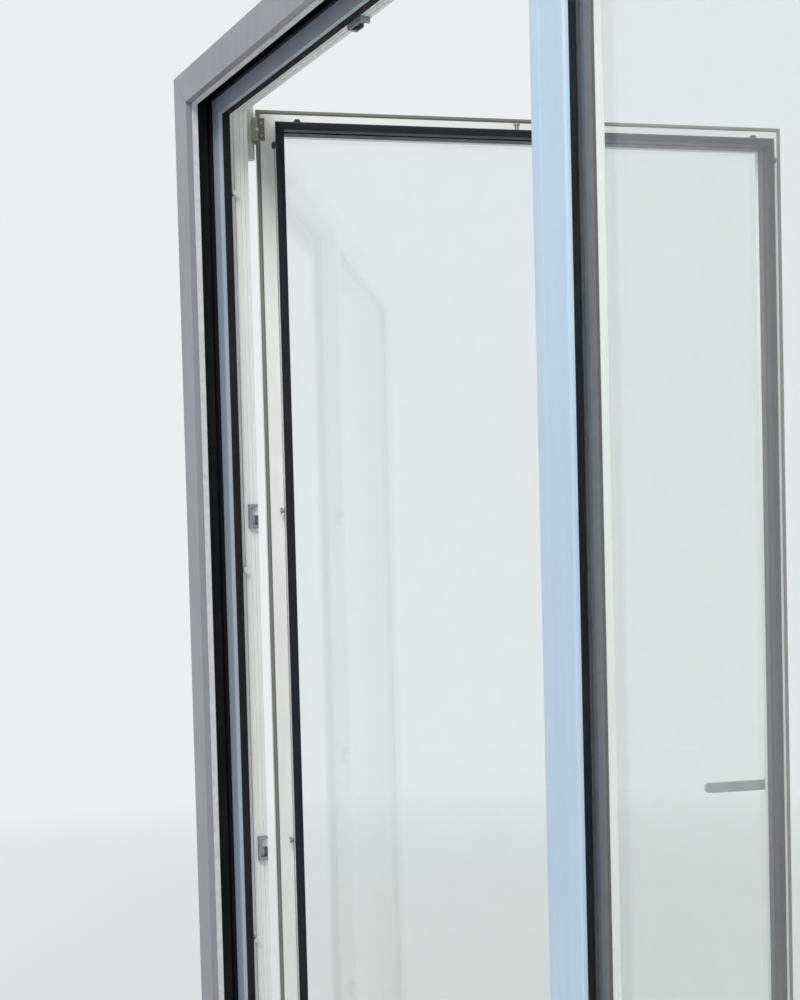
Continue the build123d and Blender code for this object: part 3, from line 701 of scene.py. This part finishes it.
def addSkin(mesh, first, second):
    # a ring of faces between two loops of as many points
    for i in range(len(first)):
        j = (i + 1) % len(first)
        mesh.faces.new((first[i], first[j], second[j], second[i]))


# The leaf's dark cladding, with its rounded outer nose

leafLip = {
    "nose": 0.006, "noseSteps": 10, "inner": 0.0010, "innerSteps": 4, "sheet": 0.0016,
    "edgeDepth": 0.008, "innerDepth": 0.002, "mitreGap": 0.00012,
}


def arc(middle, radius, start, stop, steps):
    # points of a round corner, in degrees
    turns = [math.radians(start + (stop - start) * i / steps) for i in range(steps + 1)]
    return [(middle[0] + radius * math.cos(t), middle[1] + radius * math.sin(t)) for t in turns]


def addMitredBar(mesh, low, high, side, outline, gap):
    # one bar of an upright ring: outline points are (inward, depth) from the ring's outer edge
    corners = {
        "left": ((low.x, low.z), (low.x, high.z), (1, 0)),
        "top": ((low.x, high.z), (high.x, high.z), (0, -1)),
        "right": ((high.x, high.z), (high.x, low.z), (-1, 0)),
        "bottom": ((high.x, low.z), (low.x, low.z), (0, 1)),
    }
    start, stop, inward = corners[side]
    length = math.dist(start, stop)
    along = ((stop[0] - start[0]) / length, (stop[1] - start[1]) / length)
    loops = []
    for end in (0, 1):
        loop = []
        for inset, depth in outline:
            reach = inset + gap
            at = reach if end == 0 else length - reach
            loop.append(mesh.verts.new((
                start[0] + along[0] * at + inward[0] * inset,
                depth,
                start[1] + along[1] * at + inward[1] * inset,
            )))
        loops.append(loop)
    addSkin(mesh, *loops)
    for loop in loops:
        mesh.faces.new(loop)


def makeLeafCladding():
    # four bars of folded aluminium over the leaf's lip, each replacing its plain one
    sides = {
        "left": "leaf_stile_hinge_side_cladding", "right": "leaf_stile_lock_side_cladding",
        "top": "leaf_rail_top_cladding", "bottom": "leaf_rail_bottom_cladding",
    }
    corners = [corner for name in sides.values() for corner in closedBox(name)]
    low, high = boxOf(corners)
    width = closedBox(sides["left"])[1].x - low.x
    nose, inner, sheet = leafLip["nose"], leafLip["inner"], leafLip["sheet"]
    front = low.y
    edgeEnd = front + leafLip["edgeDepth"]
    outline = [(0.0, edgeEnd)]
    outline += arc((nose, front + nose), nose, 180, 270, leafLip["noseSteps"])
    outline += arc((width - inner, front + inner), inner, 270, 360, leafLip["innerSteps"])
    outline += [
        (width, high.y), (width - sheet, high.y), (width - sheet, front + leafLip["innerDepth"]),
        (nose, front + sheet), (sheet, front + nose), (sheet, edgeEnd),
    ]
    finish = finishes["leaf_cladding"]
    for side, name in sides.items():
        mesh = bmesh.new()
        addMitredBar(mesh, low, high, side, outline, leafLip["mitreGap"])
        piece = newPiece(side + "LeafCladding", mesh, finish, "leaf", closed=True)
        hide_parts(name)


mullionCover = {
    "chamfer": 0.0025, "sheet": 0.0015, "line": -0.0130, "lineDepth": 0.0005, "soft": 0.0004,
}


def makeMullionCladding():
    # the mullion's cover with chamfered edges and its fine line, in place of the plain one
    low, high = frameBox("mullion_cladding")
    chamfer, sheet = mullionCover["chamfer"], mullionCover["sheet"]
    line, deep = (low.x + high.x) / 2 + mullionCover["line"], mullionCover["lineDepth"]
    inner = chamfer + sheet * (math.sqrt(2) - 1)
    outline = [
        (low.x, low.y + chamfer), (low.x + chamfer, low.y),
        (line - deep, low.y), (line, low.y + deep), (line + deep, low.y),
        (high.x - chamfer, low.y), (high.x, low.y + chamfer),
        (high.x, high.y), (high.x - sheet, high.y), (high.x - sheet, low.y + inner),
        (high.x - inner, low.y + sheet), (low.x + inner, low.y + sheet),
        (low.x + sheet, low.y + inner), (low.x + sheet, high.y), (low.x, high.y),
    ]
    mesh = bmesh.new()
    ends = [[mesh.verts.new((x, y, z)) for x, y in outline] for z in (low.z, high.z)]
    addSkin(mesh, *ends)
    for end in ends:
        mesh.faces.new(end)
    piece = newPiece("mullionCover", mesh, finishes["cladding"], "frame")
    softenEdges(piece, mullionCover["soft"])
    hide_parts("mullion_cladding")


makeLeafCladding()
makeMullionCladding()
print("leaf and mullion cladding made")


# Small pieces: screws, plugs and rings

chance = random.Random(11)


def facing(point, way):
    # a place whose z axis looks along way
    turn = Vector(way).normalized().to_track_quat("Z", "Y").to_matrix().to_4x4()
    return Matrix.Translation(point) @ turn


def addRing(mesh, where, sides, radius, height):
    steps = [2 * math.pi * i / sides for i in range(sides)]
    return [
        mesh.verts.new(where @ Vector((radius * math.cos(a), radius * math.sin(a), height)))
        for a in steps
    ]


def addTurned(mesh, where, outline, sides=32):
    # a turned skin from its outline of radius and height, open at both ends
    rings = [addRing(mesh, where, sides, radius, height) for radius, height in outline]
    for first, second in zip(rings, rings[1:]):
        addSkin(mesh, first, second)
    return rings


# Shares of the head's radius, except rim, which is a share of its height
screwHead = {
    "sides": 24, "rim": 0.3, "face": 0.86, "crossArm": 0.56, "crossHalf": 0.12,
    "crossDepth": 0.45, "crossTaper": 0.75,
}


def addScrew(mesh, where, radius, height):
    # a countersunk screw whose head stands a hair proud, with its cross recess
    look = screwHead
    where = where @ Matrix.Rotation(chance.uniform(0, math.pi), 4, "Z")
    outline = [(radius, -height), (radius, height * look["rim"]), (radius * look["face"], height)]
    rings = addTurned(mesh, where, outline, look["sides"])
    mesh.faces.new(rings[0])
    arm, half = radius * look["crossArm"], radius * look["crossHalf"]
    taper, bottom = look["crossTaper"], height - radius * look["crossDepth"]
    cross = [
        (arm, -half), (arm, half), (half, half), (half, arm), (-half, arm), (-half, half),
        (-arm, half), (-arm, -half), (-half, -half), (-half, -arm), (half, -arm), (half, -half),
    ]
    lip = [mesh.verts.new(where @ Vector((x, y, height))) for x, y in cross]
    pit = [mesh.verts.new(where @ Vector((x * taper, y * taper, bottom))) for x, y in cross]
    addSkin(mesh, lip, pit)
    mesh.faces.new(pit)
    edges = [
        mesh.edges.get((loop[i - 1], loop[i]))
        for loop in (rings[-1], lip) for i in range(len(loop))
    ]
    normal = (where.to_3x3() @ Vector((0, 0, 1))).normalized()
    bmesh.ops.triangle_fill(mesh, use_beauty=True, use_dissolve=False, edges=edges, normal=normal)


keepBoxes = separateBoxes("keeps")
keepScrews = {"radius": 0.0028, "height": 0.0003, "fromEnd": 0.0035}


def makeKeepScrews():
    # two screws in each keep of the lock, one at each end of its slot
    mesh = bmesh.new()
    low, high = frameBox("door_seal")
    opening = (low + high) / 2
    for low, high in keepBoxes:
        size, middle = high - low, (low + high) / 2
        thin = min(range(3), key=lambda i: size[i])
        along = max(range(3), key=lambda i: size[i])
        way = Vector((0, 0, 0))
        way[thin] = 1.0 if opening[thin] > middle[thin] else -1.0
        for end in (low[along] + keepScrews["fromEnd"], high[along] - keepScrews["fromEnd"]):
            point = middle.copy()
            point[thin] = high[thin] if way[thin] > 0 else low[thin]
            point[along] = end
            addScrew(mesh, facing(point, way), keepScrews["radius"], keepScrews["height"])
    newPiece("keepScrews", mesh, finishes["hardware"], "frame")


faceplateScrews = {
    "radius": 0.0033, "height": 0.00025, "count": 9, "topCount": 4,
    "fromEnd": 0.018, "fromKeep": 0.036, "cornerRoom": 0.030,
}


def makeFaceplateScrews():
    # a row of screws down each faceplate, clear of the cams' slots
    mesh = bmesh.new()
    low, high = closedBox("faceplates")
    depth = (low.y + high.y) / 2
    room, inset = faceplateScrews["cornerRoom"], faceplateScrews["fromEnd"]
    keepMiddles = [(box[0] + box[1]) / 2 for box in keepBoxes]

    def row(first, last, count, keepsAt, makePlace):
        for i in range(count):
            at = first + (last - first) * i / (count - 1)
            if all(abs(at - keep) > faceplateScrews["fromKeep"] for keep in keepsAt):
                addScrew(mesh, makePlace(at), faceplateScrews["radius"], faceplateScrews["height"])

    for x, way in ((low.x, -1), (high.x, 1)):
        row(
            low.z + inset, high.z - room - inset, faceplateScrews["count"],
            [keep.z for keep in keepMiddles],
            lambda z: facing((x, depth, z), (way, 0, 0)),
        )
    row(
        low.x + room + inset, high.x - room - inset, faceplateScrews["topCount"],
        [keep.x for keep in keepMiddles],
        lambda x: facing((x, depth, high.z), (0, 0, 1)),
    )
    newPiece("faceplateScrews", mesh, finishes["hardware"], "leaf", closed=True)


hingeScrews = {
    "flapRadius": 0.0040, "flapFromEdge": 0.015, "flapSpread": 0.0117, "armMiddle": 0.0195,
    "hookRadius": 0.0025, "hookFromTip": 0.0095, "hookSpread": 0.0110, "flangeFromAxis": 0.009,
    "plateRadius": 0.0023, "plateFromEdge": 0.0032, "plateThickness": 0.003,
    "plateDrops": (0.010, 0.030, 0.046), "height": 0.0002,
}


def makeHingeScrews():
    # screws of the flaps and hooks on the leaf, and of the plates on the frame
    look = hingeScrews
    onLeaf, onFrame = bmesh.new(), bmesh.new()
    for level in ("top", "bottom"):
        low, high = closedBox("leaf_hinge_" + level)
        middle = low.z + look["armMiddle"]
        tip = hingePoint.x + look["flangeFromAxis"]
        for side in (-1, 1):
            flap = (high.x - look["flapFromEdge"], high.y, middle + side * look["flapSpread"])
            addScrew(onLeaf, facing(flap, (0, 1, 0)), look["flapRadius"], look["height"])
            hook = (
                tip + look["hookFromTip"], low.y - hookPlates["thick"],
                middle + side * look["hookSpread"],
            )
            addScrew(onLeaf, facing(hook, (0, -1, 0)), look["hookRadius"], look["height"])
        low, high = frameBox("frame_hinge_" + level)
        for drop in look["plateDrops"]:
            plate = (low.x + look["plateFromEdge"], low.y + look["plateThickness"], high.z - drop)
            addScrew(onFrame, facing(plate, (0, 1, 0)), look["plateRadius"], look["height"])
    newPiece("leafHingeScrews", onLeaf, finishes["hardware"], "leaf", closed=True)
    newPiece("frameHingeScrews", onFrame, finishes["hardware"], "frame")


hookPlates = {
    "thick": 0.00035, "chamfer": 0.0002, "edge": 0.0007, "bar": 0.0070, "line": 0.0016,
    "studRadius": 0.0029, "studHeight": 0.0002, "flatWithin": 0.0001,
    "barSteel": ((142, 140, 130), (124, 122, 112)), "coverSteel": ((104, 102, 94), (88, 86, 79)),
}


def addPlate(mesh, low, high, front):
    # a thin plate on a face that looks along -y, with its outer edges chamfered
    thick, chamfer = hookPlates["thick"], hookPlates["chamfer"]
    rings = []
    for inset, depth in ((0, front), (0, front - thick + chamfer), (chamfer, front - thick)):
        left, right = low[0] + inset, high[0] - inset
        bottom, top = low[1] + inset, high[1] - inset
        corners = ((left, bottom), (right, bottom), (right, top), (left, top))
        rings.append([mesh.verts.new((x, depth, z)) for x, z in corners])
    mesh.faces.new(rings[0])
    addSkin(mesh, rings[0], rings[1])
    addSkin(mesh, rings[1], rings[2])
    mesh.faces.new(rings[2])


def makeHookPlates():
    # on each hook a narrow bar, a cover plate and the adjusting stud between them
    look = hookPlates
    bars, covers, studs = bmesh.new(), bmesh.new(), bmesh.new()
    for level in ("top", "bottom"):
        points = [leafBack @ vertex.co for vertex in nodes["leaf_hinge_" + level].data.vertices]
        front = min(point.y for point in points)
        low, high = boxOf([point for point in points if point.y < front + look["flatWithin"]])
        split = low.x + look["edge"] + look["bar"]
        bottom, top = low.z + look["edge"], high.z - look["edge"]
        addPlate(bars, (low.x + look["edge"], bottom), (split, top), front)
        addPlate(covers, (split + look["line"], bottom), (high.x - look["edge"], top), front)
        stud = (split + look["line"] / 2, front - look["thick"], (low.z + high.z) / 2)
        addScrew(studs, facing(stud, (0, -1, 0)), look["studRadius"], look["studHeight"])
    barFinish = makePlatedSteel("hookBarSteel", *look["barSteel"])
    newPiece("hookBars", bars, barFinish, "leaf", closed=True)
    coverFinish = makePlatedSteel("hookCoverSteel", *look["coverSteel"])
    newPiece("hookCovers", covers, coverFinish, "leaf", closed=True)
    newPiece("hookStuds", studs, finishes["handle_metal"], "leaf", closed=True)


flashingScrews = {
    "radius": 0.0038, "height": 0.0007, "fromEnd": 0.11, "count": 6, "drop": 0.010,
    "sheet": 0.002, "washerShare": 1.5, "washerThick": 0.0008, "washerBore": 0.0012,
    "washerFace": 0.93, "washerRim": 0.7,
}


def makeFlashingScrews():
    # screws that hold the flashing's upstand to the sill, each on a rubber washer
    look = flashingScrews
    mesh, washers = bmesh.new(), bmesh.new()
    low, high = frameBox("sill_flashing")
    first, last = low.x + look["fromEnd"], high.x - look["fromEnd"]
    radius, thick = look["radius"] * look["washerShare"], look["washerThick"]
    outline = [
        (radius, 0.0), (radius, thick * look["washerRim"]),
        (radius * look["washerFace"], thick), (look["washerBore"], thick),
    ]
    for i in range(look["count"]):
        x = first + (last - first) * i / (look["count"] - 1)
        point = Vector((x, high.y - look["sheet"], high.z - look["drop"]))
        rings = addTurned(washers, facing(point, (0, -1, 0)), outline)
        washers.faces.new(rings[0])
        washers.faces.new(rings[-1])
        above = facing(point + Vector((0, -thick, 0)), (0, -1, 0))
        addScrew(mesh, above, look["radius"], look["height"])
    newPiece("flashingScrews", mesh, finishes["hardware"], "frame")
    newPiece("flashingWashers", washers, finishes["seal_black"], "frame")


fixingPlug = {
    "radius": 0.0050, "rise": 0.0004,
    "dome": ((1.0, -0.5), (1.0, 0.25), (0.9, 0.62), (0.6, 0.9), (0.2, 1.0)),    # shares of both
    # plain and worn are darker than the profile's clean white: painted shade
    "plain": (212, 214, 211), "worn": (204, 206, 202), "rough": (0.32, 0.45),
}


def makeFixingPlugs():
    # flat white plugs over the fixing screws in the hinge-side jamb, painted darker than clean
    # white to match the painted shade on the jamb beside them
    look = fixingPlug
    mesh = bmesh.new()
    face = frameBox("jamb_left")[1].x
    outline = [(look["radius"] * out, look["rise"] * up) for out, up in look["dome"]]
    for mount in frame["record"]["mounts"]:
        if mount["kind"] != "bolt_pattern" or mount["axis"][0] > 0:
            continue
        reach = mount["dims"]["spacing_y_mm"] / 2000      # half the spacing, in metres
        for z in (mount["pos_m"][2] - reach, mount["pos_m"][2] + reach):
            rings = addTurned(mesh, facing((face, mount["pos_m"][1], z), (1, 0, 0)), outline)
            mesh.faces.new(rings[0])
            mesh.faces.new(rings[-1])
    plastic = makeMoulding("shadedPlugPlastic", look["plain"], look["worn"], look["rough"])
    newPiece("fixingPlugs", mesh, plastic, "frame")


handleDetail = {
    "bore": 0.0092, "collar": 0.0124, "rise": 0.0014, "sides": 48,
    "outerChamfer": (0.6, 0.5), "innerChamfer": (0.3, 0.3),      # width and height, shares of rise
    "setScrew": 0.0021, "setScrewHeight": 0.0002, "setScrewOut": 0.012, "setScrewDown": 0.0085,
}


def makeHandleDetail():
    # a bearing collar round the lever's neck, and the set screw under the neck
    look = handleDetail
    face = closedBox("handle_rosette")[1].y
    neck = leafBack @ Vector(joints["handle_turn"]["pos_m"])
    bore, collar, rise = look["bore"], look["collar"], look["rise"]
    outer, inner = look["outerChamfer"], look["innerChamfer"]
    outline = [
        (bore, 0.0), (collar, 0.0), (collar, rise * (1 - outer[1])),
        (collar - rise * outer[0], rise), (bore + rise * inner[0], rise),
        (bore, rise * (1 - inner[1])),
    ]
    mesh = bmesh.new()
    rings = addTurned(mesh, facing((neck.x, face, neck.z), (0, 1, 0)), outline, look["sides"])
    addSkin(mesh, rings[-1], rings[0])
    newPiece("handleCollar", mesh, finishes["handle_metal"], "leaf", closed=True)
    mesh = bmesh.new()
    under = (neck.x, face + look["setScrewOut"], neck.z - look["setScrewDown"])
    addScrew(mesh, facing(under, (0, 0, -1)), look["setScrew"], look["setScrewHeight"])
    newPiece("handleSetScrew", mesh, finishes["hardware"], "handle", closed=True)


makeKeepScrews()
makeFaceplateScrews()
makeHingeScrews()
makeHookPlates()
makeFlashingScrews()
makeFixingPlugs()
makeHandleDetail()
print("small pieces made")


# Floor and light

studio = {
    "floorReach": 30.0, "floor": (226, 227, 228), "floorRough": 0.7, "floorShine": 0.2,
    "horizon": (236, 238, 240), "fadeFrom": 2.2, "fadeTo": 7.0, "ambient": 0.42,
}


def seenRays(tree):
    # 1 for what the eye, glass and metal see, 0 for light that falls on the pieces
    rays = node(tree, "ShaderNodeLightPath").outputs
    direct = node(
        tree, "ShaderNodeMath", {0: rays["Is Camera Ray"], 1: rays["Is Glossy Ray"]},
        operation="ADD",
    )
    return node(
        tree, "ShaderNodeMath", {0: direct.outputs[0], 1: rays["Is Transmission Ray"]},
        operation="ADD", use_clamp=True,
    ).outputs[0]


def makeFloor():
    # pale floor that fades into the background far from the door
    mesh = bpy.data.meshes.new("studioFloor")
    reach = studio["floorReach"]
    mesh.from_pydata(
        [(-reach, -reach, 0), (reach, -reach, 0), (reach, reach, 0), (-reach, reach, 0)],
        [], [(0, 1, 2, 3)],
    )
    floor = bpy.data.objects.new("studioFloor", mesh)
    bpy.context.scene.collection.objects.link(floor)
    material, tree, shader = newMaterial("paleFloor")
    shader.inputs["Base Color"].default_value = colour(*studio["floor"])
    shader.inputs["Roughness"].default_value = studio["floorRough"]
    shader.inputs["Specular IOR Level"].default_value = studio["floorShine"]
    where = node(tree, "ShaderNodeTexCoord").outputs["Object"]
    length = node(tree, "ShaderNodeVectorMath", {0: where}, operation="LENGTH")
    fade = spread(tree, length.outputs["Value"], studio["fadeFrom"], studio["fadeTo"], 0.0, 1.0)
    glow = node(tree, "ShaderNodeEmission", {"Color": colour(*studio["horizon"])})
    mixed = node(
        tree, "ShaderNodeMixShader",
        {0: product(tree, fade, seenRays(tree)), 1: shader.outputs[0], 2: glow.outputs[0]},
    )
    join(tree, mixed.outputs[0], tree.nodes["Material Output"].inputs["Surface"])
    mesh.materials.append(material)


def makeSurroundings():
    # a pale background for what the eye, glass and metal see, and a plain soft fill for the rest
    world = bpy.data.worlds.new("studio")
    bpy.context.scene.world = world
    world.use_nodes = True
    tree = world.node_tree
    tree.nodes.clear()
    fill = node(
        tree, "ShaderNodeBackground", {"Color": (1, 1, 1, 1), "Strength": studio["ambient"]}
    )
    seen = node(
        tree, "ShaderNodeBackground", {"Color": colour(*studio["horizon"]), "Strength": 1.0}
    )
    mixed = node(
        tree, "ShaderNodeMixShader",
        {0: seenRays(tree), 1: fill.outputs[0], 2: seen.outputs[0]},
    )
    node(tree, "ShaderNodeOutputWorld", {"Surface": mixed.outputs[0]})


lamps = {
    # direction from the door's middle, distance, size, power
    "keyLamp": ((0.38, -0.55, 0.74), 6.0, 2.6, 235.0),
    "innerLamp": ((-0.10, 0.85, 0.50), 5.5, 3.0, 110.0),
    "fillLamp": ((-0.95, -0.25, 0.2), 6.0, 3.0, 45.0),
}


def makeLamps():
    # three round soft lamps, of which only the key lamp shines back from glass and metal
    middle = (cadBounds[0] + cadBounds[1]) / 2
    for name, (way, distance, size, power) in lamps.items():
        data = bpy.data.lights.new(name, "AREA")
        data.shape = "DISK"
        data.size = size
        data.energy = power
        lamp = bpy.data.objects.new(name, data)
        bpy.context.scene.collection.objects.link(lamp)
        way = Vector(way).normalized()
        lamp.location = middle + way * distance
        lamp.rotation_mode = "QUATERNION"
        lamp.rotation_quaternion = way.to_track_quat("Z", "Y")
        lamp.visible_camera = False
        lamp.visible_transmission = False
        lamp.visible_glossy = name == "keyLamp"


makeFloor()
makeSurroundings()
makeLamps()
bpy.context.scene.view_settings.view_transform = "Standard"
print("floor and light made")
